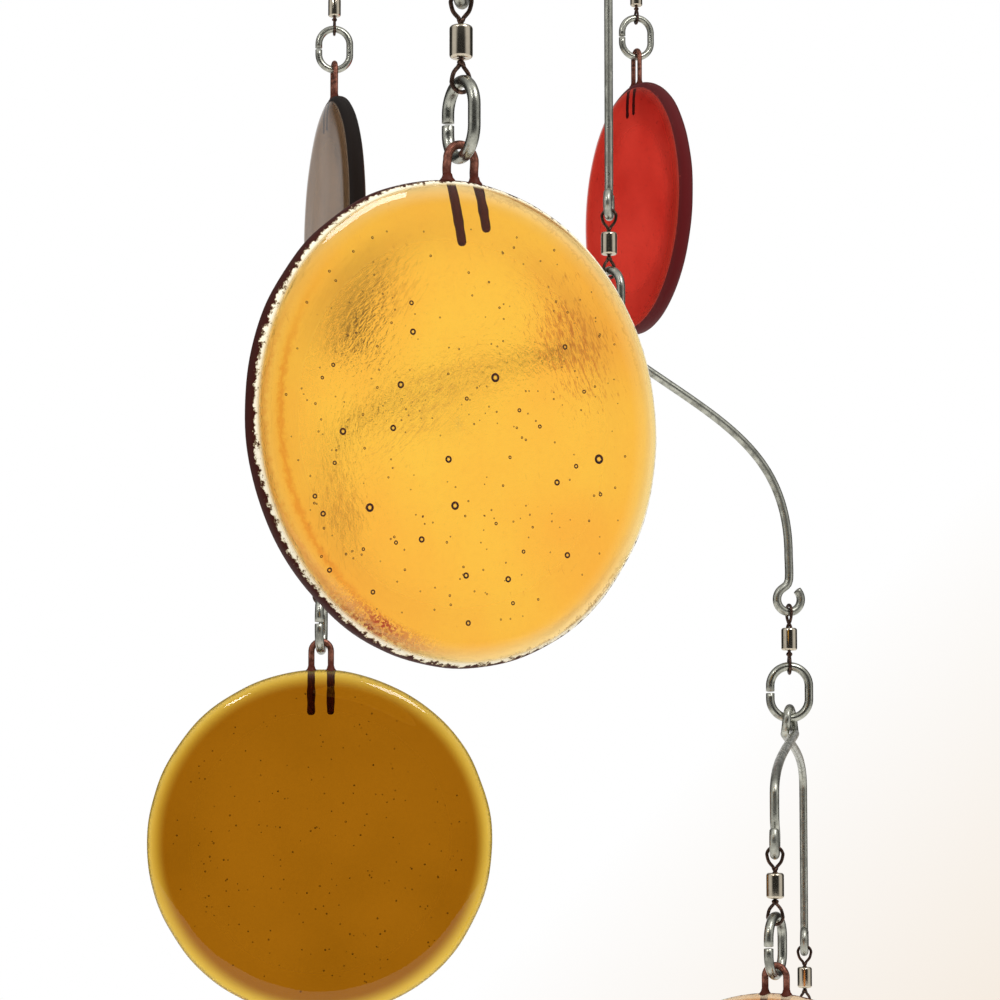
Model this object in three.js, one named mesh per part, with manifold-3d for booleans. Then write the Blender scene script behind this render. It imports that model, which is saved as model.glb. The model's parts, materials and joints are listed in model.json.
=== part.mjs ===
// Hanging mobile: round slabs of fused coloured glass, balanced on five arched steel wires.
// Millimetres, +Z up. The origin is the top of the hole in the hanging ring, where a hook bears.
// +X is to the viewer's right and +Y leads away from the viewer. Headings are degrees in plan, from
// +X towards +Y.

import * as THREE from 'three';
import { mergeVertices } from 'three/addons/utils/BufferGeometryUtils.js';
import Module from 'manifold-3d';

const wasm = await Module();
wasm.setup();

// Wires
const ARM_WIRE = 2.0;
const RING_WIRE = 2.0;
const COPPER_WIRE = 1.4;
const EYE_WIRE = 0.7;
const HANGER_WIRE = 2.0;
const LINK_GAP = 0.3; // clear space between two links that hang in each other
const STRAND_GAP = 0.3; // clear space between two strands of one arm that pass side by side

// Hanging ring and the oval split rings, measured over the wire
const HANGER_DIAMETER = 22;
const RING_HEIGHT = 14;
const RING_WIDTH = 11;
const RING_SPLIT = 0.5;

// Barrel swivels
const BARREL_DIAMETER = 3.7;
const BARREL_LENGTH = 5.3;
const BARREL_ROUNDING = 0.6;
const BARREL_WALL = 0.6;
const PIN_DIAMETER = 0.8;
const PIN_HEAD_DIAMETER = 1.7;
const PIN_HEAD_LENGTH = 0.7;
const PIN_CLEARANCE = 0.3;
const EYE_REACH = 3.65; // from the end of the barrel to the middle of the wire that the eye holds
const EYE_NECK = 1.2; // length of the closed neck below the bow of an eye
const NECK_SPLIT = 0.1; // clear space between the two strands of the neck
const SHOULDER_WIDTH = 0.6; // of the way from the neck out to the bow, half way up to it

// Bends in the arms
const LOOP_BORE = 3.9; // inside diameter of the loop at an apex and at each end
const LOOP_NECK = 4.4; // from the middle of an end loop up to where its wire runs straight
const APEX_REACH = 4; // from the middle of the apex to where the strands come together
const END_LOOP_START = 120; // degrees round an end loop, from where its neck joins it
const END_LOOP_TIP = 405;
const LEAD_SHARE = 0.55; // of the reach of a half, drawn along the slope at the apex
const TRAIL_SHARE = 0.8; // of the height from the leg to the lead, drawn upright over the leg

// Glass slabs
const DISC_DIAMETER = 76;
const DISC_THICKNESS = 6;
const EDGE_ROUNDING = 2;
const LEG_CLEARANCE = 0.3; // around a copper leg in the glass
const BORE_MOUTH = 0.3; // of a leg's depth, by which its bore starts above the glass

// Sizes of the arms. The reach of a half is level, from the apex to its end loop, its drop is from
// the wire over the apex to the wire under the end loop, and its leg is the straight upright part.

// Top arm
const TOP_NEAR_REACH = 70;
const TOP_NEAR_DROP = 89;
const TOP_NEAR_LEG = 40;
const TOP_FAR_REACH = 150;
const TOP_FAR_DROP = 38.3;
const TOP_FAR_LEG = 6;

// Front arm
const FRONT_NEAR_REACH = 152;
const FRONT_NEAR_DROP = 90;
const FRONT_NEAR_LEG = 46;
const FRONT_FAR_REACH = 47.6;
const FRONT_FAR_DROP = 89;
const FRONT_FAR_LEG = 46;

// Middle arm
const MIDDLE_NEAR_REACH = 67;
const MIDDLE_NEAR_DROP = 53.2;
const MIDDLE_NEAR_LEG = 8;
const MIDDLE_FAR_REACH = 43.5;
const MIDDLE_FAR_DROP = 68.5;
const MIDDLE_FAR_LEG = 6;

// Lower arm
const LOWER_NEAR_REACH = 66;
const LOWER_NEAR_DROP = 29.7;
const LOWER_NEAR_LEG = 5;
const LOWER_FAR_REACH = 66;
const LOWER_FAR_DROP = 62.4;
const LOWER_FAR_LEG = 34;

// Back arm
const BACK_NEAR_REACH = 47.6;
const BACK_NEAR_DROP = 44.5;
const BACK_NEAR_LEG = 10;
const BACK_FAR_REACH = 47.6;
const BACK_FAR_DROP = 33;
const BACK_FAR_LEG = 5;

// Copper loops. A rise is from the top of the loop to the glass, and a depth is that of a leg in it.
const AMBER_RISE = 5.75;
const OLIVE_RISE = 6.3;
const BACK_RISE = 10.5;
const LOWER_RISE = 5.75;
const AMBER_LEG_SPACING = 5.1;
const OLIVE_LEG_SPACING = 4.3;
const LEG_SPACING = 4.8;
const AMBER_LONG_LEG = 9.8;
const AMBER_SHORT_LEG = 7.2;
const LEG_DEPTH = 9.2;

// Facets
const WIRE_SIDES = 6;
const RING_SIDES = 5;
const EYE_SIDES = 4;
const BARREL_SIDES = 8;
const DISC_SIDES = 26;
const HANGER_STEPS = 16;
const HALF_TURN_STEPS = 4; // along a half turn of a ring, an eye or a copper loop
const QUARTER_STEPS = 3; // along each half of a loop in an arm
const HALF_ARM_STEPS = 6;

// Finishes
const STEEL = { color: 0x8d908a, roughness: 0.35, metalness: 1 };
const BLACKENED = { color: 0x4a4038, roughness: 0.45, metalness: 1 };
const COPPER = { color: 0x96553f, roughness: 0.45, metalness: 1 };
const GLASS = { roughness: 0.08, metalness: 0, transparent: true, opacity: 0.85 };

// The tree of the mobile. Each arm has a near and a far half, and a slope is how steeply a half
// leaves the apex, in degrees.
const MOBILE = {
  name: 'top_arm',
  heading: 95.5,
  ring: 15,
  near: {
    reach: TOP_NEAR_REACH,
    drop: TOP_NEAR_DROP,
    leg: TOP_NEAR_LEG,
    slope: 22,
  },
  far: {
    reach: TOP_FAR_REACH,
    drop: TOP_FAR_DROP,
    leg: TOP_FAR_LEG,
    slope: 6,
  },
  nearItem: {
    name: 'front_arm',
    heading: 81,
    ring: -5,
    near: {
      reach: FRONT_NEAR_REACH,
      drop: FRONT_NEAR_DROP,
      leg: FRONT_NEAR_LEG,
      slope: 8,
    },
    far: {
      reach: FRONT_FAR_REACH,
      drop: FRONT_FAR_DROP,
      leg: FRONT_FAR_LEG,
      slope: 26,
    },
    nearItem: {
      name: 'amber',
      color: 0xfdb93b,
      heading: 35,
      ring: -62,
      rise: AMBER_RISE,
      legSpacing: AMBER_LEG_SPACING,
      depths: [AMBER_LONG_LEG, AMBER_SHORT_LEG],
      lean: 11,
    },
    farItem: {
      name: 'middle_arm',
      heading: 15,
      ring: -56,
      near: {
        reach: MIDDLE_NEAR_REACH,
        drop: MIDDLE_NEAR_DROP,
        leg: MIDDLE_NEAR_LEG,
        slope: 18,
      },
      far: {
        reach: MIDDLE_FAR_REACH,
        drop: MIDDLE_FAR_DROP,
        leg: MIDDLE_FAR_LEG,
        slope: 34,
      },
      nearItem: {
        name: 'olive',
        color: 0xa3700f,
        heading: 3,
        ring: 88,
        rise: OLIVE_RISE,
        legSpacing: OLIVE_LEG_SPACING,
        depths: [LEG_DEPTH, LEG_DEPTH],
        lean: 0,
      },
      farItem: {
        name: 'lower_arm',
        heading: 81,
        ring: 2,
        near: {
          reach: LOWER_NEAR_REACH,
          drop: LOWER_NEAR_DROP,
          leg: LOWER_NEAR_LEG,
          slope: 5,
        },
        far: {
          reach: LOWER_FAR_REACH,
          drop: LOWER_FAR_DROP,
          leg: LOWER_FAR_LEG,
          slope: 7,
        },
        nearItem: {
          name: 'orange',
          color: 0xe08a3c,
          heading: -30,
          ring: 66,
          rise: LOWER_RISE,
          legSpacing: LEG_SPACING,
          depths: [LEG_DEPTH, LEG_DEPTH],
          lean: 0,
        },
        farItem: {
          name: 'honey',
          color: 0xdfae4c,
          heading: 24,
          ring: 116,
          rise: LOWER_RISE,
          legSpacing: LEG_SPACING,
          depths: [LEG_DEPTH, LEG_DEPTH],
          lean: 0,
        },
      },
    },
  },
  farItem: {
    name: 'back_arm',
    heading: 20,
    ring: 104,
    near: {
      reach: BACK_NEAR_REACH,
      drop: BACK_NEAR_DROP,
      leg: BACK_NEAR_LEG,
      slope: 12,
    },
    far: {
      reach: BACK_FAR_REACH,
      drop: BACK_FAR_DROP,
      leg: BACK_FAR_LEG,
      slope: 12,
    },
    nearItem: {
      name: 'smoke',
      color: 0x8a7b6d,
      heading: -76,
      ring: 8,
      rise: BACK_RISE,
      legSpacing: LEG_SPACING,
      depths: [LEG_DEPTH, LEG_DEPTH],
      lean: 0,
    },
    farItem: {
      name: 'red',
      color: 0xcd332d,
      heading: -70,
      ring: 14,
      rise: BACK_RISE,
      legSpacing: LEG_SPACING,
      depths: [LEG_DEPTH, LEG_DEPTH],
      lean: 0,
    },
  },
};

// Worked-out sizes of a hanging connection, all downwards from the wire that it hangs on
const EYE_BOW = (Math.max(ARM_WIRE, RING_WIRE, HANGER_WIRE) + EYE_WIRE) / 2 + LINK_GAP;
const BARREL_TOP = EYE_REACH;
const BARREL_BOTTOM = BARREL_TOP + BARREL_LENGTH;
const RING_TOP = BARREL_BOTTOM + EYE_REACH;
const RING_BOTTOM = RING_TOP + RING_HEIGHT - RING_WIRE;
const APEX_TOP = RING_BOTTOM - (RING_WIRE + ARM_WIRE) / 2 - LINK_GAP;
const COPPER_TOP = RING_BOTTOM - (RING_WIRE + COPPER_WIRE) / 2 - LINK_GAP;
const LOOP_RADIUS = (LOOP_BORE + ARM_WIRE) / 2;
const HANGER_RADIUS = (HANGER_DIAMETER - HANGER_WIRE) / 2;

// A smooth curve through stations, whose steps fall on the stations and not at equal lengths, so
// that a wire has short facets only where it bends.
class StationCurve extends THREE.CatmullRomCurve3 {
  getUtoTmapping(u) {
    return u;
  }
}

const turn = (degrees) => THREE.MathUtils.degToRad(degrees);

function pointOnCircle(radius, degrees, height = 0) {
  const angle = turn(degrees);
  return new THREE.Vector3(radius * Math.cos(angle), 0, height + radius * Math.sin(angle));
}

function arc(radius, from, to, steps, height = 0) {
  const points = [];
  for (let i = 0; i <= steps; i += 1) {
    points.push(pointOnCircle(radius, THREE.MathUtils.lerp(from, to, i / steps), height));
  }
  return points;
}

function roundSection(diameter, sides) {
  const corners = [];
  for (let i = 0; i < sides; i += 1) {
    const angle = (2 * Math.PI * i) / sides;
    corners.push(new THREE.Vector2(Math.cos(angle), Math.sin(angle)).multiplyScalar(diameter / 2));
  }
  return new THREE.Shape(corners);
}

function bentWire(stations, diameter, sides) {
  const path = new StationCurve(stations);
  return new THREE.ExtrudeGeometry(roundSection(diameter, sides), {
    steps: stations.length - 1,
    extrudePath: path,
  });
}

// A turned shape about Z from a profile of [radius, height] points
function turned(profile, sides) {
  const points = profile.map(([radius, height]) => new THREE.Vector2(radius, height));
  return new THREE.LatheGeometry(points, sides).rotateX(Math.PI / 2);
}

function toSolid(geometry) {
  const bare = geometry.clone();
  bare.deleteAttribute('normal');
  bare.deleteAttribute('uv');
  const merged = mergeVertices(bare);
  const corners = merged.index.array;
  const kept = [];
  for (let i = 0; i < corners.length; i += 3) {
    const [a, b, c] = corners.slice(i, i + 3);
    if (a !== b && b !== c && c !== a) kept.push(a, b, c);
  }
  return new wasm.Manifold(
    new wasm.Mesh({
      numProp: 3,
      vertProperties: new Float32Array(merged.attributes.position.array),
      triVerts: new Uint32Array(kept),
    })
  );
}

function fromSolid(solid) {
  const mesh = solid.getMesh();
  const geometry = new THREE.BufferGeometry();
  geometry.setAttribute('position', new THREE.BufferAttribute(mesh.vertProperties, 3));
  geometry.setIndex(new THREE.BufferAttribute(mesh.triVerts, 1));
  return geometry;
}

function named(name, geometry, finish) {
  const mesh = new THREE.Mesh(geometry, new THREE.MeshStandardMaterial(finish));
  mesh.name = name;
  return mesh;
}

// The bow of an eye in the XZ plane: from its foot up a neck, round the held wire and back. The
// two strands of the neck lie side by side.
function eyeWire(foot) {
  const strand = (EYE_WIRE + NECK_SPLIT) / 2;
  const shoulder = (EYE_NECK + EYE_REACH) / 2;
  const right = [
    new THREE.Vector3(strand, 0, -foot),
    new THREE.Vector3(strand, 0, EYE_NECK),
    new THREE.Vector3((strand + EYE_BOW) * SHOULDER_WIDTH, 0, shoulder),
  ];
  const bow = arc(EYE_BOW, 0, 180, HALF_TURN_STEPS, EYE_REACH);
  const left = right.map((p) => new THREE.Vector3(-p.x, p.y, p.z)).reverse();
  return bentWire([...right, ...bow, ...left], EYE_WIRE, EYE_SIDES);
}

// The barrel with its fixed upper eye. The lower end is bored for the pin of the turning eye, and
// hollow above it for the head of the pin. Local zero is the lower end.
function swivelBody() {
  const radius = BARREL_DIAMETER / 2;
  const bore = PIN_DIAMETER / 2 + PIN_CLEARANCE;
  const chamber = radius - BARREL_WALL;
  const chamberTop = BARREL_WALL + PIN_HEAD_LENGTH + 2 * PIN_CLEARANCE;
  const barrel = turned(
    [
      [0, chamberTop],
      [chamber, chamberTop],
      [chamber, BARREL_WALL],
      [bore, BARREL_WALL],
      [bore, 0],
      [radius - BARREL_ROUNDING, 0],
      [radius, BARREL_ROUNDING],
      [radius, BARREL_LENGTH - BARREL_ROUNDING],
      [radius - BARREL_ROUNDING, BARREL_LENGTH],
      [0, BARREL_LENGTH],
    ],
    BARREL_SIDES
  );
  const eye = eyeWire(EYE_WIRE).translate(0, 0, BARREL_LENGTH);
  return fromSolid(toSolid(barrel).add(toSolid(eye)));
}

// The turning lower eye with its headed pin. Local zero is the lower end of the barrel.
function swivelEye() {
  const pinRadius = PIN_DIAMETER / 2;
  const headBottom = BARREL_WALL + PIN_CLEARANCE;
  const pin = turned(
    [
      [0, -EYE_NECK],
      [pinRadius, -EYE_NECK],
      [pinRadius, headBottom],
      [PIN_HEAD_DIAMETER / 2, headBottom],
      [PIN_HEAD_DIAMETER / 2, headBottom + PIN_HEAD_LENGTH],
      [0, headBottom + PIN_HEAD_LENGTH],
    ],
    RING_SIDES
  );
  const eye = eyeWire(-EYE_NECK / 2).rotateX(Math.PI);
  return fromSolid(toSolid(pin).add(toSolid(eye)));
}

// An oval ring of wire in the XZ plane, hanging from zero, split half way up its left side
function splitRing() {
  const bend = (RING_WIDTH - RING_WIRE) / 2;
  const topCentre = -bend;
  const bottomCentre = -(RING_HEIGHT - RING_WIRE) + bend;
  const middle = (topCentre + bottomCentre) / 2;
  const splitEnd = (side) => new THREE.Vector3(-bend, 0, middle + (side * RING_SPLIT) / 2);
  return bentWire(
    [
      splitEnd(-1),
      ...arc(bend, 180, 360, HALF_TURN_STEPS, bottomCentre),
      ...arc(bend, 0, 180, HALF_TURN_STEPS, topCentre),
      splitEnd(1),
    ],
    RING_WIRE,
    RING_SIDES
  );
}

// Half of an arm in the XZ plane, from where it leaves the loop at the apex to the tip of its end
// loop. Zero is the wire over the apex. The strand starts a little to one side of the plane.
function halfArm({ reach, drop, leg, slope }, sideways) {
  const fall = turn(slope);
  const leave = pointOnCircle(LOOP_RADIUS, 270 - slope, -LOOP_RADIUS);
  const startDrop = (APEX_REACH - leave.x) * Math.tan(fall);
  const start = new THREE.Vector3(APEX_REACH, 0, leave.z - startDrop);
  const endCentre = LOOP_RADIUS - drop;
  const legTop = new THREE.Vector3(reach, 0, endCentre + LOOP_NECK + leg);
  const along = (reach - APEX_REACH) * LEAD_SHARE;
  const lead = new THREE.Vector3(start.x + along, 0, start.z - along * Math.tan(fall));
  const trail = new THREE.Vector3(reach, 0, THREE.MathUtils.lerp(legTop.z, lead.z, TRAIL_SHARE));
  const bend = new THREE.CubicBezierCurve3(start, lead, trail, legTop);
  const curve = bend.getPoints(HALF_ARM_STEPS).map((p, i, all) => {
    const fade = 1 - i / (all.length - 1);
    return p.setY(sideways * fade ** 2);
  });
  const neck = new THREE.Vector3(reach, 0, endCentre + LOOP_NECK);
  const loop = [
    ...arc(LOOP_RADIUS, END_LOOP_START, 270, QUARTER_STEPS, endCentre),
    ...arc(LOOP_RADIUS, 270, END_LOOP_TIP, QUARTER_STEPS, endCentre).slice(1),
  ].map((p) => p.setX(p.x + reach));
  return [...curve, neck, ...loop];
}

// An arched arm along X, with a loop at its apex. Zero is the wire over the apex.
function arm({ near, far }) {
  const sideways = (ARM_WIRE + STRAND_GAP) / 2;
  const left = halfArm(near, sideways).map((p) => new THREE.Vector3(-p.x, -p.y, p.z));
  const right = halfArm(far, sideways);
  const turns = [
    ...arc(LOOP_RADIUS, near.slope - 90, 90, QUARTER_STEPS, -LOOP_RADIUS),
    ...arc(LOOP_RADIUS, 90, 270 - far.slope, QUARTER_STEPS, -LOOP_RADIUS).slice(1),
  ];
  turns.forEach((p, i) => p.setY(THREE.MathUtils.lerp(-sideways, sideways, i / (turns.length - 1))));
  return bentWire([...left.reverse(), ...turns, ...right], ARM_WIRE, WIRE_SIDES);
}

// The two legs of a slab's copper loop, from the bend down to their tips in the glass
function copperLegs({ rise, legSpacing, depths, lean }) {
  const bend = legSpacing / 2;
  return depths.map((depth, i) => {
    const x = i === 0 ? -bend : bend;
    const shift = depth * Math.tan(turn(lean));
    return [
      new THREE.Vector3(x, 0, -bend),
      new THREE.Vector3(x, 0, -rise),
      new THREE.Vector3(x + shift, 0, -rise - depth),
    ];
  });
}

// The copper loop in the XZ plane. Zero is the middle of the wire at its top.
function copperLoop(slab) {
  const [left, right] = copperLegs(slab);
  const bend = slab.legSpacing / 2;
  const bow = arc(bend, 180, 0, HALF_TURN_STEPS, -bend);
  const stations = [...left.slice(1).reverse(), ...bow, ...right.slice(1)];
  return bentWire(stations, COPPER_WIRE, EYE_SIDES);
}

// A round slab in the XZ plane with a softened edge, bored for the legs of its copper loop. Zero
// is the top of the copper loop.
function glassSlab(slab) {
  const radius = DISC_DIAMETER / 2;
  const half = DISC_THICKNESS / 2;
  const flat = half - EDGE_ROUNDING;
  const profile = [
    [0, -half],
    [radius - EDGE_ROUNDING, -half],
    [radius, -flat],
    [radius, flat],
    [radius - EDGE_ROUNDING, half],
    [0, half],
  ].map(([r, y]) => new THREE.Vector2(r, y));
  const round = new THREE.LatheGeometry(profile, DISC_SIDES).translate(0, 0, -slab.rise - radius);
  const bores = copperLegs(slab).map(([, mouth, tip]) => {
    const run = new THREE.Vector3().subVectors(tip, mouth);
    const opening = mouth.clone().addScaledVector(run, -BORE_MOUTH);
    const end = tip.clone().addScaledVector(run.clone().normalize(), LEG_CLEARANCE);
    return toSolid(bentWire([opening, end], COPPER_WIRE + 2 * LEG_CLEARANCE, WIRE_SIDES));
  });
  const bored = bores.reduce((solid, bore) => solid.subtract(bore), toSolid(round));
  return fromSolid(bored);
}

// Everything that hangs on one wire: the swivel, the ring and the slab or the arm, with what the
// arm carries in turn. Zero is the middle of the wire, which runs along holderHeading.
function hang(item, holderHeading) {
  const group = new THREE.Group();
  const place = (mesh, height, heading) => {
    mesh.position.z = height;
    mesh.rotation.z = turn(heading);
    group.add(mesh);
  };
  const { name, heading, ring } = item;
  place(named(`${name}_swivel`, swivelBody(), BLACKENED), -BARREL_BOTTOM, holderHeading + 90);
  place(named(`${name}_swivel_eye`, swivelEye(), BLACKENED), -BARREL_BOTTOM, ring + 90);
  place(named(`${name}_ring`, splitRing(), STEEL), -RING_TOP, ring);
  if (item.nearItem) {
    place(named(name, arm(item), STEEL), -APEX_TOP, heading);
    for (const [half, side, next] of [[item.near, -1, item.nearItem], [item.far, 1, item.farItem]]) {
      const branch = hang(next, heading);
      const out = side * half.reach;
      branch.position.set(out * Math.cos(turn(heading)), out * Math.sin(turn(heading)), 0);
      branch.position.z = -APEX_TOP - half.drop;
      group.add(branch);
    }
  } else {
    const colour = { ...GLASS, color: item.color };
    place(named(`${name}_copper_loop`, copperLoop(item), COPPER), -COPPER_TOP, heading);
    place(named(`${name}_disc`, glassSlab(item), colour), -COPPER_TOP, heading);
  }
  return group;
}

// The closed hanging ring in the XZ plane, whose hole has its top at the origin
function hangingRing() {
  const ring = new THREE.TorusGeometry(HANGER_RADIUS, HANGER_WIRE / 2, WIRE_SIDES, HANGER_STEPS);
  return ring.rotateX(Math.PI / 2).translate(0, 0, HANGER_WIRE / 2 - HANGER_RADIUS);
}

const mobile = new THREE.Group();
mobile.add(named('hanging_ring', hangingRing(), STEEL));
const wholeTree = hang(MOBILE, 0);
wholeTree.position.z = HANGER_WIRE / 2 - 2 * HANGER_RADIUS;
mobile.add(wholeTree);

export default mobile;
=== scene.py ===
"""Looks of a hanging mobile: round slabs of fused glass on arched steel wires.

Lengths are metres. Each piece is made where it hangs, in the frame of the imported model.
"""

import json
import math
import random
from collections import namedtuple

import bmesh
import bpy
from bpy.props import FloatProperty, FloatVectorProperty, IntProperty, PointerProperty
from mathutils import Matrix, Vector, noise


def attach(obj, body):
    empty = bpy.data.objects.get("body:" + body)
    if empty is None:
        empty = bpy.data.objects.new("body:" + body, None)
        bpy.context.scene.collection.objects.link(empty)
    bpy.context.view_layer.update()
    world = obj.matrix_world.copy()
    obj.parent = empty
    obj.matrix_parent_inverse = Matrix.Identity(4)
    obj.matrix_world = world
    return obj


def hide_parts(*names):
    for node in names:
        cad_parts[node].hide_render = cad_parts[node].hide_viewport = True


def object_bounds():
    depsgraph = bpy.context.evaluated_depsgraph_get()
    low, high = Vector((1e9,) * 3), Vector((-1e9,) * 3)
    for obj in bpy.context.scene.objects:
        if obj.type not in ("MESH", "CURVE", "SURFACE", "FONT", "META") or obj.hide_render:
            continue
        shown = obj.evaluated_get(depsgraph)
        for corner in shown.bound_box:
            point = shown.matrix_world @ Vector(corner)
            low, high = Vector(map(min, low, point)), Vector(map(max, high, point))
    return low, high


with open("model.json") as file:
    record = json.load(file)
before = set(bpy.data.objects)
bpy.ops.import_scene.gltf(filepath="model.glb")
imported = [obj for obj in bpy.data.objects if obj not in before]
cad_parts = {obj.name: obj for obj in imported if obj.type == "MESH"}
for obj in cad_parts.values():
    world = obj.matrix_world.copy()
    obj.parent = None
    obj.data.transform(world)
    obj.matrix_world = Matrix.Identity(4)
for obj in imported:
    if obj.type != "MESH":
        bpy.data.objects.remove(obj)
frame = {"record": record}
CAD_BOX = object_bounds()

bl_info = {
    "name": "Glass Mobile",
    "version": (1, 0, 0),
    "blender": (4, 5, 0),
    "location": "View3D > Sidebar > Mobile",
    "description": "Builds a hanging mobile of fused glass discs on steel wire arms",
    "category": "Add Mesh",
}

MM = 0.001

# Fixed proportions of a hanging connection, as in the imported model
EYE_REACH = 3.65 * MM  # from the end of a barrel to the middle of the wire that its eye holds
EYE_NECK = 1.2 * MM
LINK_GAP = 0.3 * MM
RING_SPLIT = 0.5 * MM
BARREL_WALL = 0.6 * MM
PIN_CLEARANCE = 0.3 * MM
PIN_HEAD_LENGTH = 0.7 * MM
APEX_REACH = 4 * MM
LEAD_SHARE = 0.55
TRAIL_SHARE = 0.8
STRAND_GAP = 0.3 * MM
NECK_GAP = 0.1 * MM
LOOP_NECK = 4.4 * MM
PIN_HEAD_RADIUS = 0.85 * MM
BARREL_LIP = 0.12 * MM
DIMPLE_TOP = 0.55 * MM
DIMPLE_FLOOR = 0.42 * MM
DIMPLE_DEPTH = 0.12 * MM

# Spacing of the points along the wires
EYE_SPACING = 0.16 * MM
ARM_SPACING = 0.6 * MM
COPPER_SPACING = 0.35 * MM

# Sides of the round wires and turned shapes
ARM_SIDES = 16
RING_SIDES = 20
EYE_SIDES = 12
COPPER_SIDES = 16
PIN_SIDES = 20
COLLAR_SIDES = 20
BARREL_SIDES = 40
SLAB_SIDES = 180

# Collar where a copper leg enters the glass: how wide in wire radii, how high in mm
COLLAR = ((0, -0.5), (1.9, -0.45), (1.7, -0.05), (1.25, 0.35), (1.05, 0.9), (0, 0.95))

# Oxide scale on the copper in the glass: how much thicker, how lumpy, and the size of the lumps
SCALE_GROWTH = 0.25
SCALE_LUMPS = 0.3
LUMP_SIZE = 1.6 * MM

# Unevenness of a slab
WAVE_LENGTH = 14 * MM
RIM_UNEVENNESS = 0.2 * MM

# Bubbles. The large ones are drawn a little larger than measured, for their dark rims
LARGE_BUBBLE_GROWTH = 1.12
LARGE_BUBBLE_FRONT = -0.5 * MM
TINY_DIAMETERS = (0.22, 0.26, 0.3, 0.34, 0.42)
BUBBLE_COVER = 1.0 * MM
BUBBLE_MARGIN = 5 * MM

# Stage, in metres. The middle of the view is given from where the amber slab's swivel turns
FLOOR_RADIUS = 2.6
FLOOR_DROP = 0.45
VIEW_MIDDLE = Vector((6.1, 5.4, -68.95)) * MM
LAMP_DISTANCE = 0.8
# Each with its way from the middle of the view, width, height and share of the power
SOFT_BOXES = (
    ("left_soft_box", (-0.5, -0.56, 0.66), 0.13, 0.09, 1.0),
    ("right_soft_box", (0.45, -0.42, 0.79), 0.34, 0.2, 3.6),
)

Half = namedtuple("Half", "reach drop leg slope")
Arm = namedtuple("Arm", "name heading ring near far near_item far_item")
Slab = namedtuple("Slab", "name heading ring rise leg_spacing depths lean seed")


def half(reach, drop, leg, slope):
    return Half(reach * MM, drop * MM, leg * MM, math.radians(slope))


def slab(name, heading, ring, rise, leg_spacing, depths, lean, seed):
    depths = tuple(depth * MM for depth in depths)
    return Slab(name, heading, ring, rise * MM, leg_spacing * MM, depths, math.radians(lean), seed)


ARMS = (
    Arm("top_arm", 95.5, 15, half(70, 89, 40, 22), half(150, 38.3, 6, 6), "front_arm", "back_arm"),
    Arm("front_arm", 81, -5, half(152, 90, 46, 8), half(47.6, 89, 46, 26), "amber", "middle_arm"),
    Arm(
        "middle_arm", 15, -56, half(67, 53.2, 8, 18), half(43.5, 68.5, 6, 34), "olive", "lower_arm"
    ),
    Arm("lower_arm", 81, 2, half(66, 29.7, 5, 5), half(66, 62.4, 34, 7), "orange", "honey"),
    Arm("back_arm", 20, 104, half(47.6, 44.5, 10, 12), half(47.6, 33, 5, 12), "smoke", "red"),
)
SLABS = (
    slab("amber", 35, -62, 5.75, 5.1, (9.8, 7.2), 11, 3),
    slab("olive", 3, 88, 6.3, 4.3, (9.2, 9.2), 0, 11),
    slab("smoke", -76, 8, 10.5, 4.8, (9.2, 9.2), 0, 19),
    slab("red", -70, 14, 10.5, 4.8, (9.2, 9.2), 0, 27),
    slab("orange", -30, 66, 5.75, 4.8, (9.2, 9.2), 0, 35),
    slab("honey", 24, 116, 5.75, 4.8, (9.2, 9.2), 0, 43),
)
ITEMS = {item.name: item for item in ARMS + SLABS}
HOLDERS = {held: arm for arm in ARMS for held in (arm.near_item, arm.far_item)}
TURNS = {
    joint["child"]: Vector(joint["pos_m"]) for joint in frame["record"]["behaviour"]["joints"]
}

# Bubbles of the amber slab that are large enough to know one by one: across, up, diameter in mm
AMBER_BUBBLES = (
    (25.2, -4.5, 1.4), (5.2, 7.3, 1.3), (-17.9, -13.9, 1.2), (-2.3, -13.0, 1.2),
    (-3.5, -5.9, 1.0), (-12.6, 5.0, 1.0), (-22.9, -2.7, 1.0), (-13.5, -1.6, 0.9),
    (-10.3, 13.3, 0.9), (16.9, -8.6, 0.9), (19.4, -20.0, 0.9), (7.6, -24.1, 0.9),
    (-0.1, -23.7, 0.9), (0.1, -31.0, 0.8), (-8.4, -18.4, 0.9), (-17.4, -26.6, 0.7),
    (-24.6, -23.4, 0.7), (-25.8, -15.1, 0.8), (18.7, 13.1, 0.8), (-10.3, 17.8, 0.7),
    (-0.1, 3.7, 0.6), (9.5, 2.4, 0.6), (21.0, -5.8, 0.7), (22.5, 6.2, 0.6),
    (13.6, 0.1, 0.6), (-27.7, -12.6, 0.7), (8.2, -5.0, 0.5), (5.3, -15.5, 0.5),
    (10.7, -19.7, 0.6), (-12.9, -19.0, 0.6), (25.8, -10.1, 0.6), (8.8, -27.8, 0.6),
    (-19.0, -20.2, 0.5), (-24.2, 7.3, 0.6), (-26.3, 5.2, 0.5), (-23.8, -7.4, 0.6),
)


def linear(hex_colour):
    """An sRGB hex colour as linear red, green and blue."""
    channels = [int(hex_colour[i : i + 2], 16) / 255 for i in (1, 3, 5)]
    return [c / 12.92 if c <= 0.04045 else ((c + 0.055) / 1.055) ** 2.4 for c in channels]


def length_prop(name, millimetres, description):
    return FloatProperty(
        name=name, description=description, default=millimetres * MM, min=0.0, unit="LENGTH"
    )


def colour_prop(name, hex_colour, description):
    return FloatVectorProperty(
        name=name,
        description=description,
        default=linear(hex_colour),
        size=3,
        min=0.0,
        max=1.0,
        subtype="COLOR",
    )


def angle_prop(name, degrees, description):
    return FloatProperty(
        name=name, description=description, default=math.radians(degrees), unit="ROTATION"
    )


def brightness_prop(name, default, description):
    return FloatProperty(name=name, description=description, default=default, min=0.0)


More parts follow.
